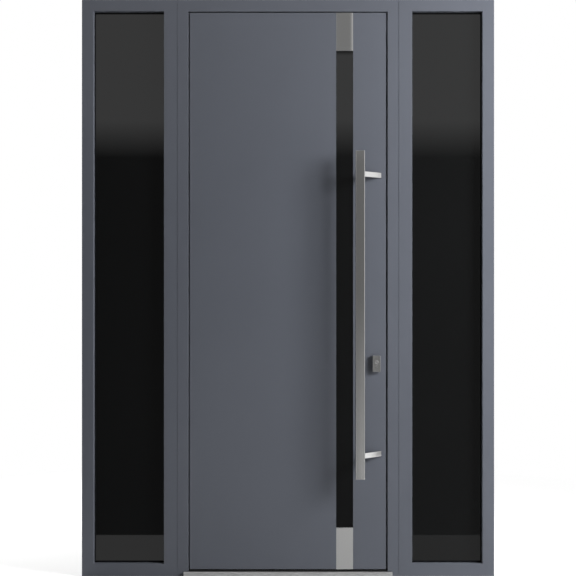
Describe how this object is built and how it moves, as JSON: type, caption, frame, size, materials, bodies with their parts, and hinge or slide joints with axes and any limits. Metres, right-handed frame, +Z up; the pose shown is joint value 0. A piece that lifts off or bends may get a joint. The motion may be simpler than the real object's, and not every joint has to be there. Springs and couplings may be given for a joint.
{
  "type": "door with sidelights",
  "caption": "Slate grey flush front door with a narrow glazed slot and long pull bar, between fixed glazed sidelights.",
  "frame": {"origin": "mid width on the threshold's underside, in the plane of the frames' outer face", "axes": "+X to the right seen from outside, +Y from outside to inside, +Z up"},
  "size_m": [1.862, 0.233, 2.605],
  "materials": {
    "slate_paint": "satin powder coat",
    "clear_glass": "polished",
    "black_rubber": "matt",
    "spacer_metal": "dark satin",
    "insulating_core": "foam",
    "brushed_stainless": "lengthwise brush",
    "lock_steel": "satin",
    "natural_aluminium": "anodised"
  },
  "bodies": {
    "frame": {"door_head": "slate_paint", "door_hinge_jamb": "slate_paint", "door_lock_jamb": "slate_paint", "door_seal": "black_rubber", "frame_hinge_halves": "slate_paint", "left_coupling_strip": "slate_paint", "left_glass_panes": "clear_glass", "left_glass_spacer": "spacer_metal", "left_glazing_beads": "slate_paint", "left_glazing_gaskets": "black_rubber", "left_sidelight_head": "slate_paint", "left_sidelight_inner_jamb": "slate_paint", "left_sidelight_outer_jamb": "slate_paint", "left_sidelight_sill": "slate_paint", "right_coupling_strip": "slate_paint", "right_glass_panes": "clear_glass", "right_glass_spacer": "spacer_metal", "right_glazing_beads": "slate_paint", "right_glazing_gaskets": "black_rubber", "right_sidelight_head": "slate_paint", "right_sidelight_inner_jamb": "slate_paint", "right_sidelight_outer_jamb": "slate_paint", "right_sidelight_sill": "slate_paint", "strike_plate": "lock_steel", "threshold": "natural_aluminium", "threshold_seal": "black_rubber"},
    "leaf": {"bottom_inlay": "brushed_stainless", "inside_lever": "brushed_stainless", "inside_roses": "brushed_stainless", "leaf_bottom_rail": "slate_paint", "leaf_bottom_seal": "black_rubber", "leaf_core": "insulating_core", "leaf_hinge_halves": "slate_paint", "leaf_hinge_stile": "slate_paint", "leaf_inner_skin": "slate_paint", "leaf_lock_stile": "slate_paint", "leaf_outer_skin": "slate_paint", "leaf_top_rail": "slate_paint", "lock_bolts": "lock_steel", "lock_cylinder": "lock_steel", "lock_faceplate": "lock_steel", "outside_escutcheon": "brushed_stainless", "pull_bar": "brushed_stainless", "pull_posts": "brushed_stainless", "slot_inner_trim": "slate_paint", "slot_panes": "clear_glass", "slot_spacers": "spacer_metal", "top_inlay": "brushed_stainless"}
  },
  "joints": [
    {"name": "door_swing", "type": "hinge", "parent": "frame", "child": "leaf", "pos_m": [-0.468, 0.087, 0], "axis": [0, 0, 1], "range_deg": [0, 95]}
  ]
}
